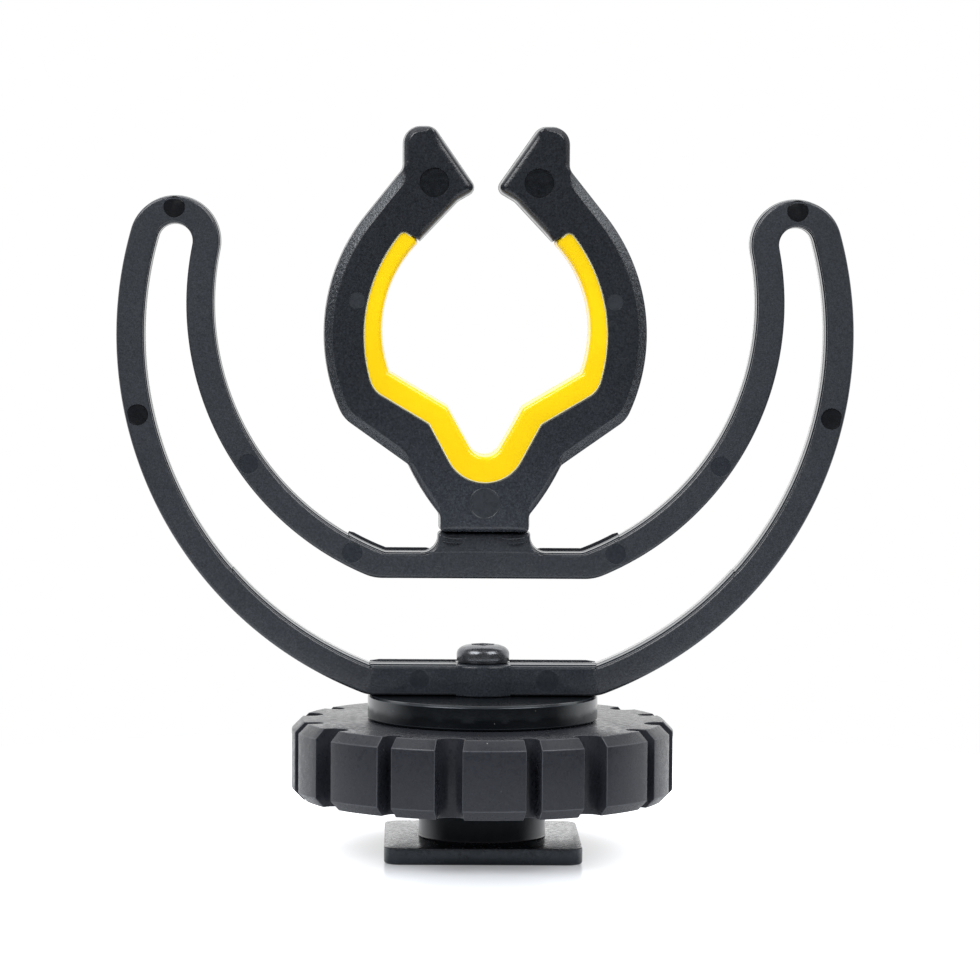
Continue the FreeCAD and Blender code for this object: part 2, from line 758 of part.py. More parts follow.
def jaw(label, right):
    """One springy jaw, from its flexure to the horn that guides the microphone in."""
    flank = jaw_back.at_height(jaw_back.centre[1] - s.flank_drop)
    high = jaw_back.at_height(jaw_back.centre[1] + s.jaw_high_rise)
    horn_foot = jaw_back.runs_on_to(high, s.horn_half_width)
    horn_top = (s.horn_half_width, horn_foot[1] + s.horn_rise)
    horn_face = (s.horn_half_width - s.horn_round - s.horn_top_flat, horn_top[1])
    nose = (s.nose_half_width, horn_top[1] - s.nose_drop)
    nose_back = (s.nose_back_half_width, nose[1] - s.nose_back_drop)
    path = [
        (flank,),
        (jaw_back.rightmost(), high),
        (horn_foot,),
        (horn_top,),
        (horn_face,),
        (nose,),
        (nose_back,),
        (lining_end,),
        (lining_end_seat,),
        (seat.rightmost(), cheek_seat),
        (knee_seat,),
        (seat_cut,),
        (flexure,),
    ]
    start, moves = (flexure, path) if right else mirrored(flexure, path)
    body = extrude(label, start, moves, "Sizes.clip_depth")
    round_corners(body, flank, "Sizes.flank_round")
    round_corners(body, horn_foot, "Sizes.horn_foot_round")
    round_corners(body, horn_top, "Sizes.horn_round")
    chamfer_outside(body, [jaw_back.rightmost()])
    round_corners(body, horn_face, "Sizes.horn_face_round")
    round_corners(body, nose, "Sizes.nose_round")
    round_corners(body, cheek_seat, "Sizes.cheek_seat_round")
    return body


def jaw_lining(label, right):
    path = [
        (bore.at_height(lining_height - s.cheek_drop),),
        (bore.rightmost(), lining_end),
        (lining_end_seat,),
        (seat.rightmost(), cheek_seat),
        (knee_seat,),
        (seat_cut,),
        (knee,),
    ]
    start, moves = (knee, path) if right else mirrored(knee, path)
    body = extrude(label, start, moves, lining_depth_text)
    round_corners(body, cheek_seat, "Sizes.cheek_seat_round")
    return body


pieces = [
    shoe_plate(),
    foot_screw(),
    neck(),
    clamp_washer(),
    locking_ring(),
    platform_disc(),
    locating_pin(),
    lyre_screw(),
    outer_cradle(),
    inner_cradle(),
    clip_base(),
    jaw("left_jaw", right=False),
    jaw("right_jaw", right=True),
    base_lining(),
    jaw_lining("left_lining", right=False),
    jaw_lining("right_lining", right=True),
]

doc.recompute()
for thing in doc.Objects:
    if "Invalid" in thing.State or "Error" in thing.State:
        raise ValueError(thing.Label + " did not build")
for piece in pieces:
    if piece.Shape.isNull() or not piece.Shape.isValid() or piece.Shape.Volume <= 0:
        raise ValueError(piece.Label + " has no valid shape")

os.makedirs("parts", exist_ok=True)
for piece in pieces:
    piece.Shape.exportStep("parts/" + piece.Label + ".step")
    print(piece.Label, len(piece.Shape.Solids), round(piece.Shape.Volume, 2))
print("parts written:", len(pieces))
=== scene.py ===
import math

import bmesh
import bpy
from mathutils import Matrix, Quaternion, Vector
from mathutils.geometry import delaunay_2d_cdt


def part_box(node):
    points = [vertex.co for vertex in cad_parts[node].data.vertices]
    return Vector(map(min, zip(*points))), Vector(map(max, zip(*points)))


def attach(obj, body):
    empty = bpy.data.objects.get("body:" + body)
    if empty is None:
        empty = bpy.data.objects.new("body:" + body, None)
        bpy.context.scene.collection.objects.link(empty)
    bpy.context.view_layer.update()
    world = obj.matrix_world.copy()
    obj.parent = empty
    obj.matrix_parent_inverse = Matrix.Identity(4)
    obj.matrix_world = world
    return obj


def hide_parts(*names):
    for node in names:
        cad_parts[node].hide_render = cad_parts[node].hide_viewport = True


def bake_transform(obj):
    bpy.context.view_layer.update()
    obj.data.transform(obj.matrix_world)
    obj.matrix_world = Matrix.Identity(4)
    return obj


# Looks of a lyre shock mount with a snap clip. Lengths in this script are millimetres, and the
# meshes are made in metres in the CAD's frame.

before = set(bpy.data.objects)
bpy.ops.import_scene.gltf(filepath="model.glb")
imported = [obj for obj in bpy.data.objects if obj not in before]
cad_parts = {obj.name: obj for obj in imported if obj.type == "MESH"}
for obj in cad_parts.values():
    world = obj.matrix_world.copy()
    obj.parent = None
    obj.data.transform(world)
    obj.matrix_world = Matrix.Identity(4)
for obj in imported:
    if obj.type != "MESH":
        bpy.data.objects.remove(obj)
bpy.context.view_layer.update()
MM = 0.001

# ---------------------------------------------------------------- levels and sizes
def heights(node):
    """The lowest and highest level of a CAD node."""
    return [v.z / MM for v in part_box(node)]


disc_high = heights("platform_disc")[1]
frame_high = heights("lyre_outer_cradle")[1]
cradle_low = heights("lyre_inner_cradle")[0]
BAR_TOP = disc_high + 3.0
# end loops: their middle, outer radius, and the thickness of the arms that run into them
LOOP_X, LOOP_Z, LOOP_R, ARM = 29.2, frame_high - 4.3, 4.3, 2.7
VOID = LOOP_R - ARM
CRADLE_TOP = cradle_low + 2.55
STEM_HALF = 4.4
CLIP_FOOT = CRADLE_TOP + 1.9
LYRE_HALF, CLIP_HALF, LINING_HALF = 2.75, 3.75, 3.55    # half depths


# ---------------------------------------------------------------- outlines in the front view
FINEST, FINE_SHARE = 0.09, 0.13     # steps along arcs, by the root of their radius


def unit(a, b):
    """The direction from a to b."""
    d = (b[0] - a[0], b[1] - a[1])
    n = math.hypot(*d)
    return d[0] / n, d[1] / n


def circle_through(a, b, c):
    """The centre and radius of the circle through three points."""
    d = 2 * (a[0] * (b[1] - c[1]) + b[0] * (c[1] - a[1]) + c[0] * (a[1] - b[1]))
    q = [p[0] ** 2 + p[1] ** 2 for p in (a, b, c)]
    x = (q[0] * (b[1] - c[1]) + q[1] * (c[1] - a[1]) + q[2] * (a[1] - b[1])) / d
    z = (q[0] * (c[0] - b[0]) + q[1] * (a[0] - c[0]) + q[2] * (b[0] - a[0])) / d
    return (x, z), math.hypot(a[0] - x, a[1] - z)


def bowed(a, b, share):
    """The middle point of an arc from a to b that bows to the right by this share of its chord."""
    across, up = b[0] - a[0], b[1] - a[1]
    return (a[0] + b[0]) / 2 + up * share, (a[1] + b[1]) / 2 - across * share


class Side:
    """A straight side, or an arc through a middle point, of an outline."""

    def __init__(self, a, b, middle=None, cut=False, style=None):
        self.a, self.b, self.cut, self.style = a, b, cut, style
        self.centre = None
        if middle is not None:
            self.centre, self.radius = circle_through(a, middle, b)
            turn = (middle[0] - a[0]) * (b[1] - middle[1]) - (middle[1] - a[1]) * (b[0] - middle[0])
            self.way = 1 if turn > 0 else -1

    def moved(self, d):
        """The side's line or circle, moved to its left by d."""
        if self.centre is None:
            u = unit(self.a, self.b)
            return ("line", (self.a[0] - u[1] * d, self.a[1] + u[0] * d), u)
        return ("circle", self.centre, self.radius - self.way * d)

    def nearest(self, p):
        """The point of the side's line or circle that is nearest to p."""
        if self.centre is None:
            u = unit(self.a, self.b)
            t = (p[0] - self.a[0]) * u[0] + (p[1] - self.a[1]) * u[1]
            return self.a[0] + u[0] * t, self.a[1] + u[1] * t
        u = unit(self.centre, p)
        return self.centre[0] + u[0] * self.radius, self.centre[1] + u[1] * self.radius

    def points(self, step):
        """Points along the side from its start, without its end, this far apart or closer."""
        if self.centre is None:
            n = max(1, round(math.dist(self.a, self.b) / step))
            return [tuple(s + (e - s) * k / n for s, e in zip(self.a, self.b)) for k in range(n)]
        t0 = math.atan2(self.a[1] - self.centre[1], self.a[0] - self.centre[0])
        t1 = math.atan2(self.b[1] - self.centre[1], self.b[0] - self.centre[0])
        sweep = (t1 - t0) % math.tau if self.way > 0 else -((t0 - t1) % math.tau)
        fine = min(step, max(FINEST, FINE_SHARE * math.sqrt(self.radius)))
        n = max(2, round(abs(sweep) * self.radius / fine))
        (x, z), r = self.centre, self.radius
        return [(x + r * math.cos(t), z + r * math.sin(t)) for t in (t0 + sweep * k / n for k in range(n))]


def meet(first, second, near):
    """Where two moved lines or circles cross, nearest to a point."""
    if first[0] == "line" and second[0] == "line":
        (_, p, u), (_, q, v) = first, second
        k = ((q[0] - p[0]) * v[1] - (q[1] - p[1]) * v[0]) / (u[0] * v[1] - u[1] * v[0])
        return p[0] + u[0] * k, p[1] + u[1] * k
    if first[0] == "circle" and second[0] == "line":
        first, second = second, first
    if first[0] == "line":
        (_, p, u), (_, c, r) = first, second
        t = (c[0] - p[0]) * u[0] + (c[1] - p[1]) * u[1]
        foot = (p[0] + u[0] * t, p[1] + u[1] * t)
        h = math.sqrt(max(0.0, r * r - math.dist(foot, c) ** 2))
        found = [(foot[0] + u[0] * h * k, foot[1] + u[1] * h * k) for k in (1, -1)]
    else:
        (_, c, r), (_, e, s) = first, second
        d = math.dist(c, e)
        a = (r * r - s * s + d * d) / (2 * d)
        h = math.sqrt(max(0.0, r * r - a * a))
        u = unit(c, e)
        m = (c[0] + u[0] * a, c[1] + u[1] * a)
        found = [(m[0] - u[1] * h * k, m[1] + u[0] * h * k) for k in (1, -1)]
    return min(found, key=lambda p: math.dist(p, near))


def rounded(sides, rounds):
    """Rounds the corner at the end of a side: rounds maps the side's number to a radius."""
    out = list(sides)
    arcs = {}
    for number, radius in rounds.items():
        one, two = out[number], out[(number + 1) % len(out)]
        corner = one.b
        before = unit(one.points(0.05)[-1], corner)
        after_points = two.points(0.05) + [two.b]
        after = unit(corner, after_points[1])
        turn = 1 if before[0] * after[1] - before[1] * after[0] > 0 else -1
        centre = meet(one.moved(turn * radius), two.moved(turn * radius), corner)
        p, q = one.nearest(centre), two.nearest(centre)
        to_corner = unit(centre, corner)
        middle = (centre[0] + to_corner[0] * radius, centre[1] + to_corner[1] * radius)
        one.b, two.a = p, q
        arcs[number] = Side(p, q, middle, style=one.style if one.style == two.style else None)
    made = []
    for number, side in enumerate(out):
        made.append(side)
        if number in arcs:
            made.append(arcs[number])
    return made


def trace(start, moves):
    """Sides from a start point. A move is (corner,) or (arc point, corner), then keywords."""
    sides, here = [], start
    for move in moves:
        words = move[-1] if isinstance(move[-1], dict) else {}
        points = [m for m in move if not isinstance(m, dict)]
        sides.append(Side(here, points[-1], points[0] if len(points) == 2 else None, **words))
        here = points[-1]
    return sides


def mirror_side(side):
    """The same side on the left, run the other way."""
    flip = lambda p: (-p[0], p[1])
    middle = None
    if side.centre is not None:
        along = side.points(0.2)
        middle = flip(along[len(along) // 2])
    return Side(flip(side.b), flip(side.a), middle, side.cut, side.style)


def flipped(sides):
    """The same sides on the left, in the order that runs on."""
    return [mirror_side(side) for side in reversed(sides)]


# ---------------------------------------------------------------- moulded pieces
# A moulding's materials by their slots. Its front walls are dull to the depth SPLIT, then glossy.
FACE, MARK, FAINT, ZONE, GLOSS, DULL = range(6)
SPLIT = 1.3
DRAFT = math.tan(math.radians(1.8))
PARTING, LINE_HALF, LINE_FOOT = 0.03, 0.03, 0.09        # parting line: height and half widths
QUARTER_SHARE = 0.586       # the chamfer that two roundings of 45 degrees turn into one of 90
EDGE_TURN, EDGE_ROWS = 15, 8
REACH_LIMIT = 2.2           # how far a sharp corner moves in, in insets
PARALLEL = 0.02
MARK_SIDES, MARK_SLOPE, MARK_INSIDE = 28, 0.04, 0.03
UNDRAWN, WIDE_CHAMFER = 0.3, 0.6    # a rim is drawn less than this, a bevel has a wider chamfer


def profile(half, chamfer, radius):
    """Insets and depths from the wall to the face: two rounded corners of a chamfer."""
    back = radius * math.tan(math.pi / 8)
    rows = []
    for k in range(EDGE_ROWS // 2):
        t = math.radians(EDGE_TURN * k)
        rows.append((radius * (1 - math.cos(t)), half - chamfer - back + radius * math.sin(t)))
    for k in range(EDGE_ROWS // 2):
        t = math.radians(45 + EDGE_TURN * k)
        rows.append((chamfer + back - radius * math.cos(t), half - radius + radius * math.sin(t)))
    return rows


def moulding(name, sides, half, materials, edge=0.28, marks=(), step=0.55, zone=0.0, rim=False, bevel=False):
    """A solid with this outline at mid depth, where it has a fine parting line. Its walls draw in
    by the draft to both faces, and its edges are rounded or chamfered by their style: chamfer,
    radius and how much is drawn. The front face has round ejector marks: x, z, radius, depth and
    slot. A zone is the middle of both faces, to this x. A rim colours the undrawn edges with a
    painted highlight, and a bevel colours the wide chamfers."""
    points, styles, cuts = [], [], []
    for side in sides:
        for p in side.points(step):
            points.append(p)
            cuts.append(side.cut)
            styles.append(side.style or (QUARTER_SHARE * edge, edge, 1.0))
    count = len(points)
    styles = [styles[i - 1] if cuts[i] else styles[i] for i in range(count)]
    # one side's edge eases over into the next side's
    for _ in range(3):
        before = [styles[i if cuts[i - 1] else i - 1] for i in range(count)]
        after = [styles[i if cuts[i] else (i + 1) % count] for i in range(count)]
        styles = [tuple((a + 2 * b + c) / 4 for a, b, c in zip(*row)) for row in zip(before, styles, after)]
    normals = []
    for i in range(count):
        u = unit(points[i], points[(i + 1) % count])
        normals.append((u[1], -u[0]))

    def place(i, inset):
        """Point i moved in by an inset from both sides that meet there."""
        n1, n2 = normals[i - 1], normals[i]
        a1 = 0 if cuts[i - 1] else inset
        a2 = 0 if cuts[i] else inset
        det = n1[0] * n2[1] - n1[1] * n2[0]
        if abs(det) < PARALLEL:
            n = ((n1[0] + n2[0]) / 2, (n1[1] + n2[1]) / 2)
            size = n[0] ** 2 + n[1] ** 2
            a = a1 if cuts[i] == cuts[i - 1] else inset
            return points[i][0] - n[0] * a / size, points[i][1] - n[1] * a / size
        x = (-a1 * n2[1] + a2 * n1[1]) / det
        z = (-a2 * n1[0] + a1 * n2[0]) / det
        far = math.hypot(x, z)
        if far > REACH_LIMIT * inset > 0 and not (cuts[i] or cuts[i - 1]):
            x, z = x * REACH_LIMIT * inset / far, z * REACH_LIMIT * inset / far
        return points[i][0] + x, points[i][1] + z

    bm = bmesh.new()
    columns = []
    for i, (chamfer, radius, drawn) in enumerate(styles):
        lean, skin = DRAFT * drawn, PARTING * drawn
        line = [(skin + lean * y + a, y) for a, y in profile(half, chamfer, radius)]
        parting = [(skin, LINE_FOOT), (0.0, LINE_HALF), (0.0, -LINE_HALF), (skin, -LINE_FOOT)]
        column = [(a, -y) for a, y in reversed(line)] + [(skin + lean * SPLIT, -SPLIT)]
        column += [(a, -y) for a, y in parting] + line
        rows = [(place(i, a), y) for a, y in column]
        columns.append([bm.verts.new((x * MM, y * MM, z * MM)) for (x, z), y in rows])
    height = len(columns[0])
    flats = (EDGE_ROWS // 2 - 1, height - 1 - EDGE_ROWS // 2)

    def slot(i, k):
        """The slot of the wall face after point i and above row k."""
        chamfer, _, drawn = styles[i]
        on_edge = k < EDGE_ROWS - 1 or k >= height - EDGE_ROWS
        if cuts[i]:
            return FACE
        if on_edge:
            bevelled = bevel and chamfer > WIDE_CHAMFER and k in flats
            # with a rim, the undrawn edges take the mark slot's material: a painted highlight
            return ZONE if bevelled else MARK if rim and drawn < UNDRAWN else FACE
        return FACE if len(materials) <= DULL else DULL if k == EDGE_ROWS - 1 else GLOSS

    for i in range(count):
        one, two = columns[i], columns[(i + 1) % count]
        for k in range(height - 1):
            bm.faces.new((one[k], two[k], two[k + 1], one[k + 1])).material_index = slot(i, k)
    for front in (True, False):
        ring = [c[0] if front else c[-1] for c in columns]
        flat = [Vector((v.co.x / MM, v.co.z / MM)) for v in ring]
        edges = [(i, (i + 1) % count) for i in range(count)]
        for x in (zone, -zone) if zone else ():
            # an edge across the face, from the bar's top to its underside
            near = sorted(range(count), key=lambda i: abs(flat[i].x - x) + 0.002 * flat[i].y)
            upper = [i for i in near[:2] if flat[i].y > BAR_TOP - 1] or near[:1]
            lower = [i for i in near if flat[i].y < BAR_TOP - 1.5]
            edges.append((upper[0], lower[0]))
        depth = {}
        for x, z, r, sunk, _ in marks if front else ():
            for radius, sink in ((r, 0.0), (r - MARK_SLOPE, sunk)):
                first = len(flat)
                for k in range(MARK_SIDES):
                    t = math.tau * k / MARK_SIDES
                    flat.append(Vector((x + radius * math.cos(t), z + radius * math.sin(t))))
                    depth[first + k] = sink
                edges += [(first + k, first + (k + 1) % MARK_SIDES) for k in range(MARK_SIDES)]
        verts, _, faces, origin = delaunay_2d_cdt(flat, edges, [], 1, 1e-5)[:4]
        made = []
        level = -half if front else half
        for v, source in zip(verts, origin):
            known = [i for i in source if i < count]
            if known:
                made.append(ring[known[0]])
            else:
                sink = depth.get(source[0], 0.0) if source else 0.0
                made.append(bm.verts.new((v.x * MM, (level + sink) * MM, v.y * MM)))
        for corners in ([made[k] for k in f] for f in faces):
            if len(set(corners)) != 3:
                continue
            face = bm.faces.new(corners)
            centre = face.calc_center_median() / MM
            if abs(centre.x) < zone:
                face.material_index = ZONE
            for x, z, r, _, number in marks if front else ():
                if math.dist((centre.x, centre.z), (x, z)) < r - MARK_INSIDE:
                    face.material_index = number
    bmesh.ops.remove_doubles(bm, verts=bm.verts, dist=1e-8)
    bmesh.ops.recalc_face_normals(bm, faces=bm.faces)
    return finished(name, bm, materials)


def finished(name, bm, materials, angle=32):
    """An object from a bmesh, smooth but for edges sharper than the angle."""
    mesh = bpy.data.meshes.new(name)
    bm.to_mesh(mesh)
    bm.free()
    for polygon in mesh.polygons:
        polygon.use_smooth = True
    mesh.set_sharp_from_angle(angle=math.radians(angle))
    piece = bpy.data.objects.new(name, mesh)
    bpy.context.scene.collection.objects.link(piece)
    for material in materials:
        mesh.materials.append(material)
    return piece


def fan(name, rows, material, angle=32):
    """A solid from rows of points that run round the same way, each row closed, with flat ends."""
    bm = bmesh.new()
    rings = [[bm.verts.new((x * MM, y * MM, z * MM)) for x, y, z in row] for row in rows]
    count = len(rings[0])
    for one, two in zip(rings, rings[1:]):
        for k in range(count):
            bm.faces.new((one[k], one[(k + 1) % count], two[(k + 1) % count], two[k]))
    for ring in (rings[0], rings[-1]):
        bm.faces.new(ring)
    bmesh.ops.recalc_face_normals(bm, faces=bm.faces)
    return finished(name, bm, [material], angle)


def softened(name, node, width, materials):
    """A CAD node's shape with its edges broken, as machining and moulding leave them."""
    bm = bmesh.new()
    bm.from_mesh(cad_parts[node].data)
    bmesh.ops.remove_doubles(bm, verts=bm.verts, dist=2e-6)
    bmesh.ops.dissolve_limit(bm, angle_limit=math.radians(0.6), verts=bm.verts, edges=bm.edges)
    sharp = [e for e in bm.edges if len(e.link_faces) == 2 and e.calc_face_angle() > math.radians(24)]
    # the bevels take the last material, which for the plate, ring and disc paints a highlight on the broken
    # edges
    bmesh.ops.bevel(bm, geom=sharp, offset=width * MM, offset_type="OFFSET", segments=3,
                    profile=0.6, affect="EDGES", clamp_overlap=True, miter_outer="ARC",
                    material=len(materials) - 1)
    bmesh.ops.recalc_face_normals(bm, faces=bm.faces)
    piece = finished(name, bm, materials, angle=28)
    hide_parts(node)
    return piece


# ---------------------------------------------------------------- materials
def math_node(nodes, links, operation, *values):
    """What this operation gives for the values, numbers or sockets."""
    node = nodes.new("ShaderNodeMath")
    node.operation = operation
    for socket, value in zip(node.inputs, values):
        if isinstance(value, (int, float)):
            socket.default_value = value
        else:
            links.new(value, socket)
    return node.outputs[0]


def surface(name, colour, rough, grain, bump, metal=0.0, spread=0.12, specular=0.5, dust=0.0,
            rough_spread=0.08, coarse=0.6, sides=1.0, gleam=(1, 1, 1), painted_lower_light=None):
    """A material with fine grain, slow drift in tone and gloss, and a little dust where asked. The
    grain has the strength that sides says on walls, and full on what faces the front or the back.
    Gleam tints the gloss, and painted_lower_light holds two heights and how much lighter the lower one is
    painted, as painted light."""
    material = bpy.data.materials.new(name)
    material.use_nodes = True
    nodes, links = material.node_tree.nodes, material.node_tree.links
    shader = nodes["Principled BSDF"]
    shader.inputs["Metallic"].default_value = metal
    shader.inputs["Specular IOR Level"].default_value = specular
    shader.inputs["Specular Tint"].default_value = (*gleam, 1)
    place = nodes.new("ShaderNodeTexCoord").outputs["Object"]

    def noise(size, detail=3.0, roughness=0.55):
        node = nodes.new("ShaderNodeTexNoise")
        node.inputs["Scale"].default_value = 1 / (size * MM)
        node.inputs["Detail"].default_value = detail
        node.inputs["Roughness"].default_value = roughness
        links.new(place, node.inputs["Vector"])
        return node.outputs["Fac"]

    def spread_to(value, low, high, source=(0.3, 0.7)):
        node = nodes.new("ShaderNodeMapRange")
        node.inputs["From Min"].default_value, node.inputs["From Max"].default_value = source
        node.inputs["To Min"].default_value, node.inputs["To Max"].default_value = low, high
        links.new(value, node.inputs["Value"])
        return node.outputs["Result"]

    fine, slow = noise(grain), noise(9.0, 2.0)
    shade = nodes.new("ShaderNodeMix")
    shade.data_type = "RGBA"
    links.new(spread_to(fine, 0, 1), shade.inputs["Factor"])
    shade.inputs[6].default_value = (*[c * (1 - spread) for c in colour], 1)
    shade.inputs[7].default_value = (*[min(1, c * (1 + spread)) for c in colour], 1)
    tint = nodes.new("ShaderNodeHueSaturation")
    drift = spread_to(slow, 0.93, 1.07)
    # painted light: the colour is lifted towards the lower height
    if painted_lower_light:
        low, high, gain = painted_lower_light
        height = nodes.new("ShaderNodeSeparateXYZ")
        links.new(place, height.inputs[0])
        painted_lighter = spread_to(height.outputs["Z"], gain, 1, (low * MM, high * MM))
        drift = math_node(nodes, links, "MULTIPLY", drift, painted_lighter)
    links.new(drift, tint.inputs["Value"])
    links.new(shade.outputs[2], tint.inputs["Color"])
    colour_out = tint.outputs["Color"]
    if dust:
        specks = nodes.new("ShaderNodeTexVoronoi")
        specks.inputs["Scale"].default_value = 1 / (0.9 * MM)
        links.new(place, specks.inputs["Vector"])
        dots = spread_to(specks.outputs["Distance"], 1, 0, (0.03, 0.075))
        some = spread_to(noise(2.6, 1.0), 0, 1, (0.52, 0.62))
        cover = spread_to(math_node(nodes, links, "MULTIPLY", dots, some), 0, dust, (0, 1))
        mixed = nodes.new("ShaderNodeMix")
        mixed.data_type = "RGBA"
        links.new(cover, mixed.inputs["Factor"])
        links.new(colour_out, mixed.inputs[6])
        mixed.inputs[7].default_value = (0.55, 0.55, 0.56, 1)
        colour_out = mixed.outputs[2]
    links.new(colour_out, shader.inputs["Base Color"])
    links.new(spread_to(noise(coarse), rough - rough_spread, rough + rough_spread), shader.inputs["Roughness"])
    ridge = nodes.new("ShaderNodeBump")
    ridge.inputs["Strength"].default_value = 1.0
    ridge.inputs["Distance"].default_value = bump * MM
    if sides != 1:
        facing = nodes.new("ShaderNodeSeparateXYZ")
        links.new(nodes.new("ShaderNodeNewGeometry").outputs["Normal"], facing.inputs[0])
        flat = math_node(nodes, links, "ABSOLUTE", facing.outputs["Y"])
        links.new(spread_to(flat, sides, 1, (0.3, 0.8)), ridge.inputs["Strength"])
    links.new(fine, ridge.inputs["Height"])
    links.new(ridge.outputs["Normal"], shader.inputs["Normal"])
    return material


def linear(r, g, b):
    """A colour read as it shows on screen, 0 to 255, as the shader wants it."""
    return [((c / 255 + 0.055) / 1.055) ** 2.4 if c > 10 else c / 255 / 12.92 for c in (r, g, b)]


lyre_plastic = surface("lyre plastic", linear(54, 57, 62), 0.23, 0.2, 0.02, spread=0.25, specular=0.45,
                       sides=0.1)
lyre_gloss = surface("lyre wall gloss", linear(48, 52, 57), 0.13, 0.17, 0.002, spread=0.4, specular=0.55,
                     rough_spread=0.02)
lyre_dull = surface("lyre wall dull", linear(50, 54, 59), 0.6, 0.17, 0.004, spread=0.3, specular=0.0)
lyre_base = surface("lyre base", linear(43, 47, 53), 0.25, 0.17, 0.02, spread=0.4, specular=0.4, sides=0.1,
                    dust=0.25)
lyre_faint = surface("lyre faint mark", linear(42, 46, 52), 0.3, 0.2, 0.008, spread=0.2, specular=0.3)
lyre_base_mark = surface("lyre base mark", linear(35, 39, 45), 0.3, 0.2, 0.008, spread=0.2, specular=0.25)
lyre_mark = surface("lyre pin mark", linear(22, 23, 26), 0.3, 0.2, 0.004, spread=0.1, specular=0.3)
# painted light: the clip is painted lighter towards its foot
clip_plastic = surface("clip plastic", linear(37, 40, 45), 0.25, 0.2, 0.028, spread=0.4, specular=0.5,
                       sides=0.35, painted_lower_light=(33, 46, 1.7))
clip_mark_light = surface("clip foot mark", linear(49, 53, 58), 0.3, 0.3, 0.004, spread=0.1, specular=0.4)
clip_mark = surface("clip pin mark", linear(24, 27, 31), 0.25, 0.35, 0.04, spread=0.4, specular=0.5)
clip_bevel = surface("clip bevel", linear(40, 43, 48), 0.24, 0.26, 0.11, spread=0.8, specular=1.0,
                     gleam=(0.9, 0.95, 1.0))
lining_rubber = surface("lining elastomer", linear(250, 210, 5), 0.22, 0.6, 0.001, spread=0.01,
                        specular=0.45, rough_spread=0.02)
# painted highlight: the lining's undrawn rim is painted near white
lining_painted_highlight = surface("lining painted rim highlight", linear(255, 250, 205), 0.3, 0.6, 0.001, spread=0.01, specular=0.45,
                      rough_spread=0.02)
ring_plastic = surface("ring plastic", linear(40, 42, 48), 0.3, 0.18, 0.005, spread=0.18, dust=0.6,
                       specular=0.35, sides=2.5)
# painted highlight: the ring's broken edges are painted lighter
ring_edge_painted_highlight = surface("ring edge painted highlight", linear(66, 68, 74), 0.35, 0.12, 0.006, spread=0.2, specular=0.4)
COOL = (0.86, 0.93, 1.0)
disc_metal = surface("anodised disc", linear(8, 11, 14), 0.22, 0.14, 0.0008, spread=0.1, dust=0.25,
                     specular=0.7, rough_spread=0.02, gleam=COOL)
# painted highlight: the disc's broken edges are painted lighter than the disc
disc_edge_painted_highlight = surface("disc edge painted highlight", linear(42, 46, 52), 0.2, 0.14, 0.001, spread=0.1, specular=0.7, gleam=COOL)
foot_metal = surface("foot metal", linear(26, 30, 35), 0.18, 0.28, 0.004, spread=0.4, specular=0.66,
                     rough_spread=0.12, coarse=0.36, sides=5.0, gleam=COOL)
# painted highlight: the shoe plate's broken edges and the collar's foot are painted lighter
foot_edge_painted_highlight = surface("foot edge painted highlight", linear(60, 62, 67), 0.22, 0.11, 0.004, spread=0.3, specular=0.6)
neck_metal = surface("neck metal", linear(9, 13, 17), 0.3, 0.15, 0.001, spread=0.1, specular=0.5,
                     rough_spread=0.02, gleam=COOL)
black_steel = surface("black oxide steel", linear(100, 102, 106), 0.27, 0.12, 0.004, metal=0.8, spread=0.2)
pin_steel = surface("ground steel", linear(150, 150, 152), 0.3, 0.1, 0.003, metal=1.0, spread=0.1)

# ---------------------------------------------------------------- lyre
loop_at = lambda radius, angle: (LOOP_X + radius * math.cos(math.radians(angle)),
                                 LOOP_Z + radius * math.sin(math.radians(angle)))
OUT_TURN, IN_TURN = 15.5, 191.5     # where the arms run into the end loops, in degrees

# outer arms with the base bar
foot = (10.9, disc_high)
tip = loop_at(LOOP_R, OUT_TURN)
arm_middle = bowed(foot, tip, 0.1967)
arm_centre, arm_radius = circle_through(foot, arm_middle, tip)
inner_radius = arm_radius - ARM


def on_arc(centre, radius, x=None, z=None):
    """The point of a circle below its centre, on the right, at this x or at this height."""
    if z is None:
        return x, centre[1] - math.sqrt(radius ** 2 - (x - centre[0]) ** 2)
    return centre[0] + math.sqrt(radius ** 2 - (z - centre[1]) ** 2), z


def between(centre, radius, a, b):
    """The point of a circle half way round from a to b."""
    m = unit(centre, ((a[0] + b[0]) / 2, (a[1] + b[1]) / 2))
    return centre[0] + m[0] * radius, centre[1] + m[1] * radius


# inserts in the mould leave steps of some hundredths along the upper edges
STEP = 0.07
step_out = on_arc(arm_centre, inner_radius, x=23.7)
step_in = on_arc(arm_centre, inner_radius - STEP, x=23.7)
bar_end = on_arc(arm_centre, inner_radius - STEP, z=BAR_TOP - 0.1)
loop_cut = loop_at(VOID, OUT_TURN)
right = trace(foot, [
    (arm_middle, tip),
    (loop_cut, {"cut": True}),
    (between(arm_centre, inner_radius, loop_cut, step_out), step_out),
    (step_in,),
    (between(arm_centre, inner_radius - STEP, step_in, bar_end), bar_end),
    ((bar_end[0], BAR_TOP),),
])
base = [Side((-foot[0], foot[1]), foot)]
top = [Side((bar_end[0], BAR_TOP), (-bar_end[0], BAR_TOP))]
sides = base + right + top + flipped(right)
sides = rounded(sides, {0: 3.6, len(sides) - 1: 3.6})
arm_marks = [(s * 32.6, 41.4, 1.02, 0.08, MARK) for s in (1, -1)]
arm_marks += [(6.03, 16.5, 1.08, 0.012, FAINT), (-6.03, 16.6, 0.93, 0.012, FAINT)]
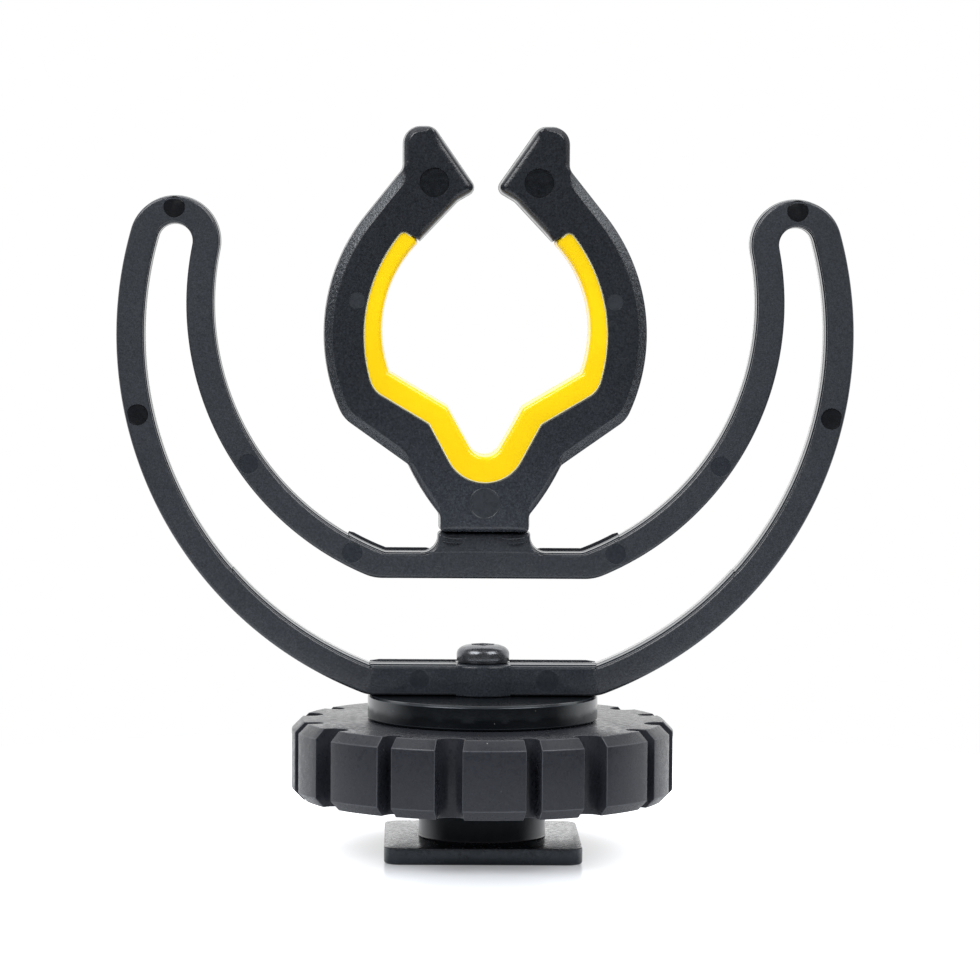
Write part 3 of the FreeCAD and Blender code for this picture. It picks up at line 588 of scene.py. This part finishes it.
lyre_frame = moulding("lyre_frame", sides, LYRE_HALF,
                      (lyre_plastic, lyre_mark, lyre_base_mark, lyre_base, lyre_gloss, lyre_dull),
                      marks=arm_marks, zone=bar_end[0])
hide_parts("lyre_outer_cradle")
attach(lyre_frame, "foot")

# the boss round the screw runs into the bar's faces by small hollows
BOSS_R, HOLLOW = 3.7, 0.2
hollow_y = LYRE_HALF + HOLLOW - 0.01
hollow_x = math.sqrt((BOSS_R + HOLLOW) ** 2 - hollow_y ** 2)
turn_at = math.atan2(hollow_y, hollow_x)


def boss_plan(inset):
    """The boss from above, drawn in by an inset, with its hollows."""
    quarter = []
    for k in range(7):
        t = math.radians(-90) - (math.radians(90) - turn_at) * k / 6
        r = HOLLOW + inset
        quarter.append((hollow_x + r * math.cos(t), hollow_y + r * math.sin(t)))
    for k in range(1, 13):
        t = turn_at + (math.pi / 2 - turn_at) * k / 12
        quarter.append(((BOSS_R - inset) * math.cos(t), (BOSS_R - inset) * math.sin(t)))
    half = quarter + [(-x, y) for x, y in reversed(quarter[:-1])]
    return half + [(-x, -y) for x, y in half]


boss_rows = []
for k in range(6):
    t = math.radians(90 - 18 * k)
    boss_rows.append((0.2 * (1 - math.cos(t)), disc_high + 0.22 - 0.2 * math.sin(t)))
for k in range(6):
    t = math.radians(18 * k)
    boss_rows.append((0.25 * (1 - math.cos(t)), BAR_TOP - 0.28 + 0.25 * math.sin(t)))
lyre_boss = fan("lyre_boss", [[(x, y, z) for x, y in boss_plan(a)] for a, z in boss_rows], lyre_base)
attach(lyre_boss, "foot")


def ridge(name, path, high=0.15, thick=0.3):
    """A thin rib of flash along a path of the top walls, at their rear edge."""
    rows = []
    for k, (x, z) in enumerate(path):
        u = unit(path[max(0, k - 1)], path[min(len(path) - 1, k + 1)])
        n = (-u[1], u[0]) if u[0] > 0 else (u[1], -u[0])
        tall = high if 0 < k < len(path) - 1 else 0.03
        back = LYRE_HALF - 0.34
        rows.append([(x + n[0] * a, y, z + n[1] * a) for y, a in (
            (back - thick, -0.2), (back - thick, tall - 0.04), (back - thick + 0.04, tall), (back, tall),
            (back + 0.06, tall - 0.06), (back + 0.06, -0.2))])
    return fan(name, rows, lyre_plastic)


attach(ridge("lyre_ridge", [(bar_end[0] * k / 12, BAR_TOP - 0.12) for k in range(-12, 13)]), "foot")


def bead(half_width, high, root):
    """The section of a fine raised line on a face."""
    return (-half_width, root), (-half_width, 0), (0, -high), (half_width, 0), (half_width, root)


# hairlines where the bar's mould insert ends
for label, sign in (("right", 1), ("left", -1)):
    x = sign * (bar_end[0] - 0.06)
    rows = [[(x + a, -LYRE_HALF + b, z) for a, b in bead(w, h, 0.2)]
            for z, w, h in ((disc_high + 0.5, 0.03, 0.0), (disc_high + 0.8, 0.07, 0.02),
                            (BAR_TOP - 0.5, 0.07, 0.02), (BAR_TOP - 0.22, 0.03, 0.0))]
    hairline = fan("lyre_hairline_" + label, rows, lyre_plastic)
    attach(hairline, "foot")

# end loops; the real ones twist as the cradle swings
for label, flip in (("right", False), ("left", True)):
    loop = trace(loop_at(VOID, OUT_TURN), [
        (loop_at(LOOP_R, OUT_TURN), {"cut": True}),
        (loop_at(LOOP_R, 90), loop_at(LOOP_R, IN_TURN)),
        (loop_at(VOID, IN_TURN), {"cut": True}),
        (loop_at(VOID, 90), loop_at(VOID, OUT_TURN)),
    ])
    sign = -1 if flip else 1
    mark = [(sign * LOOP_X, 60.87, 1.02, 0.07, MARK)]
    piece = moulding("lyre_loop_" + label, flipped(loop) if flip else loop, LYRE_HALF,
                     (lyre_plastic, *[lyre_mark] * 3, lyre_gloss, lyre_dull), marks=mark, step=0.35)
    high = LOOP_Z * MM
    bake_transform(piece)

# inner arms with the centre bar and stem
foot = (10.4, cradle_low)
tip = loop_at(VOID, IN_TURN)
middle = bowed(foot, tip, 0.1829)
centre, radius = circle_through(foot, middle, tip)
step_out = on_arc(centre, radius - ARM, x=12.8)
step_in = on_arc(centre, radius - ARM - STEP, x=12.8)
bar_end = on_arc(centre, radius - ARM - STEP, z=CRADLE_TOP)
loop_cut = loop_at(LOOP_R, IN_TURN)
right = trace(foot, [
    (middle, tip),
    (loop_cut, {"cut": True}),
    (between(centre, radius - ARM, loop_cut, step_out), step_out),
    (step_in,),
    (between(centre, radius - ARM - STEP, step_in, bar_end), bar_end),
    ((STEM_HALF, CRADLE_TOP),),
    ((STEM_HALF, CLIP_FOOT),),
])
sides = [Side((-foot[0], foot[1]), foot)] + right
sides += [Side((STEM_HALF, CLIP_FOOT), (-STEM_HALF, CLIP_FOOT))] + flipped(right)
last = len(sides) - 1
sides = rounded(sides, {0: 4.5, 5: 1.2, 6: 1.45, 7: 0.35, 8: 0.35, 9: 1.45, 10: 1.2, last: 4.5})
inner_marks = [(s * x, *rest, MARK) for x, *rest in ((22.2, 36.85, 0.96, 0.045), (12.4, 28.55, 0.98, 0.04))
               for s in (1, -1)]
lyre_cradle = moulding("lyre_cradle", sides, LYRE_HALF,
                       (lyre_plastic, *[lyre_faint] * 3, lyre_gloss, lyre_dull), marks=inner_marks)
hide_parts("lyre_inner_cradle")
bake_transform(lyre_cradle)

arc = Side(step_in, bar_end, between(centre, radius - ARM - STEP, step_in, bar_end)).points(0.5) + [bar_end]
low = [(bar_end[0] + (4.9 - bar_end[0]) * k / 8, CRADLE_TOP) for k in range(1, 9)]
for label, sign in (("right", 1), ("left", -1)):
    piece = ridge("lyre_ridge_" + label, [(sign * x, z - 0.02) for x, z in arc + low])
    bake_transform(piece)

# folds under the clip's foot: middle, half length, lift above the bar, reach out and half height
FOLDS = (("low", 3.03, 0.97, 0.93, 0.3, 0.11), ("high", 2.75, 1.15, 1.36, 0.13, 0.15))
for label, sign in (("right", 1), ("left", -1)):
    for part, mid, long, lift, out, tall in FOLDS:
        rows = []
        for k in range(17):
            u = k / 8 - 1
            swell = math.sqrt(max(0.02, 1 - u * u))
            x, z = sign * (mid + long * u), CRADLE_TOP + lift + 0.1 * u * u + 0.06 * u
            turns = [math.radians(30 * j - 90) for j in range(7)]
            rows.append([(x, -LYRE_HALF + 0.05 - (out + 0.05) * swell * math.cos(t),
                          z + tall * swell * math.sin(t)) for t in turns])
        rib = fan("lyre_rib_" + part + "_" + label, rows, lyre_plastic)
        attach(rib, "clip")
seam = []
for x, w, h in ((-6.0, 0.02, 0.0), *((0.5 * k, 0.07, 0.022) for k in range(-11, 12)), (6.0, 0.02, 0.0)):
    z = CRADLE_TOP + 0.12 - 0.004 * x * x
    seam.append([(x, -LYRE_HALF + b, z + a) for a, b in bead(w, h, 0.1)])
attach(fan("lyre_seam", seam, lyre_plastic), "clip")

# ---------------------------------------------------------------- clip and lining
up = lambda half_width, height: (half_width, CLIP_FOOT + height)


class Round:
    """A circle by its reach to the right, its centre's height over the clip's foot, and its radius."""

    def __init__(self, half_width, height, radius):
        self.centre, self.radius = (half_width - radius, CLIP_FOOT + height), radius

    def level(self, rise):
        """Its point on the right, this much higher than the centre."""
        return (self.centre[0] + math.sqrt(self.radius ** 2 - rise ** 2), self.centre[1] + rise)

    def rightmost(self):
        return self.centre[0] + self.radius, self.centre[1]


bore = Round(9.7, 19.05, 11.51)
seat = Round(11.49, 18.53, 15.2)
jaw_back = Round(15.25, 18.65, 17.87)
flexure = up(7.25, 6.3)
high = jaw_back.level(11.13)
slope = (high[0] - jaw_back.centre[0]) / (high[1] - jaw_back.centre[1])
HORN_X, HORN_RISE = 7.88, 4.0
horn_foot = (HORN_X, high[1] + (high[0] - HORN_X) * slope)
horn_top = (HORN_X, horn_foot[1] + HORN_RISE)
horn_face = (HORN_X - 1.7 - 1.22, horn_top[1])
nose = (0.78, horn_top[1] - 6.0)
nose_back = (2.65, nose[1] - 1.08)
lining_end, lining_end_seat = bore.level(8.25), seat.level(9.92)
cheek_seat, cheek = seat.level(-5.23), bore.level(-3.95)
knee_seat, knee = up(5.33, 10.2), up(3.5, 11.85)
bed, bed_seat = up(0, 7.25), up(0, 4.65)
bed_side = (1.41, bed[1] + 0.85)
bed_seat_side = (3.45, bed_seat[1] + 2.05)
# edge styles: chamfer, radius and how much the wall is drawn
BEVEL = {"style": (0.85, 0.2, 1.0)}
SMALL_BEVEL = {"style": (0.48, 0.22, 1.0)}
FOOT_EDGE = {"style": (0.3, 0.6, 1.0)}
THROAT = {"style": (0.42, 0.9, 1.0)}
SEAT = {"style": (0.03, 0.05, 0.0)}
RIM = {"style": (0.09, 0.14, 0.0)}
LIP = {"style": (0.25, 0.42, 0.6)}
clip_path = [
    (up(4.3, 0), FOOT_EDGE),
    (up(4.3, 1.65),),
    (bowed(up(4.3, 1.65), flexure, 0.0309), flexure, SMALL_BEVEL),
    (jaw_back.level(-8.06), BEVEL),
    (jaw_back.rightmost(), high, BEVEL),
    (horn_foot, BEVEL),
    (horn_top, SMALL_BEVEL),
    (horn_face, SMALL_BEVEL),
    (nose, THROAT),
    (nose_back, THROAT),
    (lining_end, THROAT),
    (lining_end_seat, SEAT),
    (seat.rightmost(), cheek_seat, SEAT),
    (knee_seat, SEAT),
    (bed_seat_side, SEAT),
    (bowed(bed_seat, bed_seat_side, 0.1358), bed_seat, SEAT),
    (up(0, 0), {"cut": True}),
]
clip_rounds = {0: 0.5, 1: 0.8, 2: 0.5, 3: 3.0, 5: 1.2, 6: 1.7, 7: 1.3, 8: 0.8, 9: 1.2, 11: 0.6, 12: 2.5}
lining_path = [
    (bowed(bed_seat, bed_seat_side, 0.1358), bed_seat_side, RIM),
    (knee_seat, RIM),
    (cheek_seat, RIM),
    (seat.rightmost(), lining_end_seat, RIM),
    (lining_end, RIM),
    (bore.rightmost(), cheek, LIP),
    (knee, LIP),
    (bed_side, LIP),
    (bowed(bed, bed_side, 0.1373), bed, LIP),
    (bed_seat, {"cut": True}),
]
clip_marks = [(4.9, 63.3, 1.4, 0.1, MARK), (12.06, 52.3, 0.8, 0.06, FAINT)]
for label, sign, jaw in (("right", 1, "right_jaw"), ("left", -1, "left_jaw")):
    for kind, path, start, half, rounds, marks, materials in (
        ("clip", clip_path, up(0, 0), CLIP_HALF, clip_rounds, clip_marks,
         (clip_plastic, clip_mark, clip_mark_light, clip_bevel)),
        ("lining", lining_path, bed_seat, LINING_HALF, {2: 2.5, 3: 0.6, 4: 0.45}, (),
         (lining_rubber, lining_painted_highlight)),
    ):
        sides = rounded(trace(start, path), rounds)
        if sign < 0:
            sides = flipped(sides)
        piece = moulding(kind + "_" + label, sides, half, materials, edge=0.3, step=0.4,
                         marks=[(sign * x, *rest) for x, *rest in marks],
                         rim=kind == "lining", bevel=kind == "clip")
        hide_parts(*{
            "clip_right": ("clip_base", "right_jaw"), "clip_left": ("left_jaw",),
            "lining_right": ("base_lining", "right_lining"), "lining_left": ("left_lining",),
        }[piece.name])
        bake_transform(piece)

# the ejector pad over the clip's foot stands a little proud
PAD_HEIGHT, PAD_SIDES = 33.3, 64
pad_rows = []
for r, y in ((1.2, 0.1), (1.48, 0.1), (1.48, -0.015), (1.44, -0.035), (1.38, -0.035), (1.34, -0.01),
             (0.8, -0.01)):
    turns = [math.tau * k / PAD_SIDES for k in range(PAD_SIDES)]
    pad_rows.append([(r * math.cos(t), -CLIP_HALF + y, PAD_HEIGHT + r * math.sin(t)) for t in turns])
clip_pad = fan("clip_pad", pad_rows, clip_mark_light, angle=12)
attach(clip_pad, "clip")

# ---------------------------------------------------------------- turned and knurled parts
for node, width, materials, body in (
    ("shoe_plate", 0.1, (foot_metal, foot_edge_painted_highlight), "foot"),
    ("foot_screw", 0.06, (black_steel,), "foot"),
    ("clamp_washer", 0.08, (neck_metal,), "washer"),
    ("locking_ring", 0.07, (ring_plastic, ring_edge_painted_highlight), "ring"),
    ("platform_disc", 0.09, (disc_metal, disc_edge_painted_highlight), "foot"),
):
    piece = softened(node + "_dressed", node, width, materials)
    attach(piece, body)


def ring_of(radius, z, around=96):
    """Points round the axis at this height."""
    return [(radius * math.cos(math.tau * k / around), radius * math.sin(math.tau * k / around), z)
            for k in range(around)]


def hexagon(flats, z, around=96):
    """The same number of points round a hexagon."""
    out = []
    for k in range(around):
        t = math.tau * k / around
        r = flats / 2 / math.cos((t + math.pi / 6) % (math.pi / 3) - math.pi / 6)
        out.append((r * math.cos(t), r * math.sin(t), z))
    return out


# the lyre's screw: a button head with a hexagon socket, over its shank
screw_low, screw_high = heights("lyre_screw")
head = ((1.5, -8.75), (1.5, -0.01), (2.22, 0.0), (2.36, 0.05), (2.46, 0.18), (2.5, 0.4), (2.5, 0.82),
        (2.47, 1.0), (2.39, 1.18), (2.26, 1.33), (2.08, 1.46), (1.86, 1.56), (1.62, 1.63), (1.36, 1.675))
socket = ((2.2, 0.0), (2.08, -0.04), (2.0, -0.12), (2.0, -1.0), (0.4, -1.2))
rows = [ring_of(1.25, screw_low)] + [ring_of(r, BAR_TOP + z) for r, z in head]
rows += [hexagon(flats, screw_high + z) for flats, z in socket]
screw = fan("lyre_screw_dressed", rows, black_steel)
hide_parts("lyre_screw")
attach(screw, "foot")

# the neck: a collar, then a stud with a thread of one millimetre's pitch and a keyway
neck_low, neck_high = heights("threaded_neck")
SHOULDER, CREST, ROOT, PITCH = 5.35, 4.97, 4.46, 1.0
KEY_HALF, KEY_FLOOR = 1.1, 4.1
KEY_TURN = math.asin(KEY_HALF / 4.75)       # half the angle that the keyway takes up in the thread
angles = [math.tau * k / 216 for k in range(216)]
angles += [side * KEY_TURN + gap for side in (1, -1) for gap in (-0.001, 0.001)]
angles.sort(key=lambda t: t % math.tau)
levels = [SHOULDER + (neck_high - SHOULDER) * k / 84 for k in range(85)]


def stud(t, z):
    """The point of the threaded stud at this angle and height."""
    wave = abs((z / PITCH - t / math.tau) % 1.0 - 0.5) * 2
    r = ROOT + (CREST - ROOT) * min(1.0, max(0.0, (wave - 0.1) / 0.76))
    r = min(r, CREST - max(0.0, z - (neck_high - 0.4)) * 0.9)
    if abs(math.remainder(t, math.tau)) < KEY_TURN:
        r = min(r, KEY_FLOOR / math.cos(t))
    return r * math.cos(t), r * math.sin(t), z


collar = ((5.7, neck_low), (5.7, 1.56), (6.0, 1.56), (6.06, 1.6), (6.0, 1.71), (6.0, 5.12), (5.96, 5.22),
          (5.86, 5.32), (5.78, 5.35), (5.2, 5.35))
rows = [[(r * math.cos(t), r * math.sin(t), z) for t in angles] for r, z in collar]
rows += [[stud(t, z) for t in angles] for z in levels]
neck = fan("threaded_neck_dressed", rows, neck_metal)
# a painted highlight at the collar's foot: a fine light line
neck.data.materials.append(foot_edge_painted_highlight)
for polygon in neck.data.polygons:
    if 1.57 < polygon.center.z / MM < 1.71:
        polygon.material_index = 1
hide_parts("threaded_neck")
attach(neck, "foot")

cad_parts["locating_pin"].data.materials.clear()
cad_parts["locating_pin"].data.materials.append(pin_steel)

# ---------------------------------------------------------------- floor, light and camera
FLOOR_REACH = 95
SHADE_NARROWER = 1.6                # the shade under the part reaches less far across than forward
SHADE_START, SHADE_END = 0.012, 0.046       # metres from the middle
SHADE_GLOW = 0.2                    # the floor's glow where the shade is deepest
IN_GLOSS = 0.22                     # the floor's glow as the part's gloss shows it
floor_bm = bmesh.new()
bmesh.ops.create_circle(floor_bm, cap_ends=True, segments=96, radius=FLOOR_REACH * MM)
floor_mesh = bpy.data.meshes.new("floor")
floor_bm.to_mesh(floor_mesh)
floor_bm.free()
floor = bpy.data.objects.new("floor", floor_mesh)
bpy.context.scene.collection.objects.link(floor)
floor.location = (0, 0, -0.00002)


def map_range(nodes, links, value, low, high, to_low, to_high):
    """The value eased from the first range into the second."""
    node = nodes.new("ShaderNodeMapRange")
    node.interpolation_type = "SMOOTHSTEP"
    for name, number in (("From Min", low), ("From Max", high), ("To Min", to_low), ("To Max", to_high)):
        node.inputs[name].default_value = number
    links.new(value, node.inputs["Value"])
    return node.outputs["Result"]


def seen_directly(nodes, links):
    """1 for the rays that show the background: from the camera, and off gloss or through glass."""
    path = nodes.new("ShaderNodeLightPath")
    gloss, glass = path.outputs["Is Glossy Ray"], path.outputs["Is Transmission Ray"]
    through = math_node(nodes, links, "MAXIMUM", gloss, glass)
    return math_node(nodes, links, "MAXIMUM", path.outputs["Is Camera Ray"], through), path


paper = bpy.data.materials.new("floor")
paper.use_nodes = True
nodes, links = paper.node_tree.nodes, paper.node_tree.links
shader = nodes["Principled BSDF"]
shader.inputs["Base Color"].default_value = (0.76, 0.79, 0.84, 1)
shader.inputs["Roughness"].default_value = 0.22
shader.inputs["Specular IOR Level"].default_value = 0.35
shader.inputs["Emission Color"].default_value = (1, 1, 1, 1)
wider = nodes.new("ShaderNodeVectorMath")
wider.operation = "MULTIPLY"
links.new(nodes.new("ShaderNodeTexCoord").outputs["Object"], wider.inputs[0])
wider.inputs[1].default_value = (SHADE_NARROWER, 1, 1)
reach = nodes.new("ShaderNodeVectorMath")
reach.operation = "LENGTH"
links.new(wider.outputs["Vector"], reach.inputs[0])
lift = map_range(nodes, links, reach.outputs["Value"], SHADE_START, SHADE_END, SHADE_GLOW, 1.0)
shown, path = seen_directly(nodes, links)
shown = math_node(nodes, links, "MULTIPLY", shown, IN_GLOSS)
shown = math_node(nodes, links, "MAXIMUM", path.outputs["Is Camera Ray"], shown)
links.new(math_node(nodes, links, "MULTIPLY", lift, shown), shader.inputs["Emission Strength"])
floor_mesh.materials.append(paper)

# the studio as the part's gloss shows it, from the camera's side to behind the part, and its fill
FRONT, BEHIND, DARK, BRIGHT, FILL = -0.3, 0.45, 0.04, 1.3, 0.42
world = bpy.data.worlds.new("studio")
bpy.context.scene.world = world
world.use_nodes = True
nodes, links = world.node_tree.nodes, world.node_tree.links
back = nodes["Background"]
back.inputs["Color"].default_value = (1, 1, 1, 1)
split = nodes.new("ShaderNodeSeparateXYZ")
links.new(nodes.new("ShaderNodeTexCoord").outputs["Generated"], split.inputs[0])
behind = map_range(nodes, links, split.outputs["Y"], FRONT, BEHIND, DARK, BRIGHT)
shown, path = seen_directly(nodes, links)
gloss = math_node(nodes, links, "SUBTRACT", shown, path.outputs["Is Camera Ray"])
diffuse = math_node(nodes, links, "SUBTRACT", 1, shown)
strength = math_node(nodes, links, "MULTIPLY", gloss, behind)
strength = math_node(nodes, links, "ADD", strength, math_node(nodes, links, "MULTIPLY", diffuse, FILL))
strength = math_node(nodes, links, "ADD", strength, path.outputs["Is Camera Ray"])
links.new(strength, back.inputs["Strength"])


def lamp(name, place, target, size, radiance):
    """A softbox of this radiance, so that its size doesn't change how bright it looks. In metres."""
    data = bpy.data.lights.new(name, "AREA")
    data.shape = "RECTANGLE"
    data.size, data.size_y = size
    data.energy = radiance * math.pi * size[0] * size[1]
    light = bpy.data.objects.new(name, data)
    light.location = place
    light.rotation_mode = "QUATERNION"
    light.rotation_quaternion = (Vector(target) - Vector(place)).to_track_quat("-Z", "Y")
    bpy.context.scene.collection.objects.link(light)


MIDDLE = (0, 0, 0.03)
lamp("top softbox", (0.0, 0.15, 0.5), MIDDLE, (0.7, 0.6), 0.7)
lamp("left softbox", (-0.34, -0.32, 0.46), MIDDLE, (0.36, 0.36), 7.0)
lamp("right softbox", (0.34, -0.32, 0.46), MIDDLE, (0.36, 0.36), 5.2)

# the camera, fitted to the photograph's round and flat edges
camera_data = bpy.data.cameras.new("camera")
FOCAL, PICTURE, SENSOR = 4200.5, 980, 36    # focal length and picture in pixels, sensor in mm
camera_data.sensor_width = SENSOR
camera_data.lens = FOCAL / PICTURE * SENSOR
camera_data.clip_start, camera_data.clip_end = 0.01, 10
camera = bpy.data.objects.new("camera", camera_data)
camera.location = (-7.32 * MM, -396.7 * MM, 58.53 * MM)
yaw, pitch, roll = math.radians(1.138), math.radians(3.485), math.radians(0.4)
look = Vector((math.sin(yaw) * math.cos(pitch), math.cos(yaw) * math.cos(pitch), -math.sin(pitch)))
camera.rotation_mode = "QUATERNION"
camera.rotation_quaternion = look.to_track_quat("-Z", "Y") @ Quaternion((0, 0, 1), roll)
bpy.context.scene.collection.objects.link(camera)
bpy.context.scene.camera = camera
bpy.context.scene.view_settings.view_transform = "Standard"
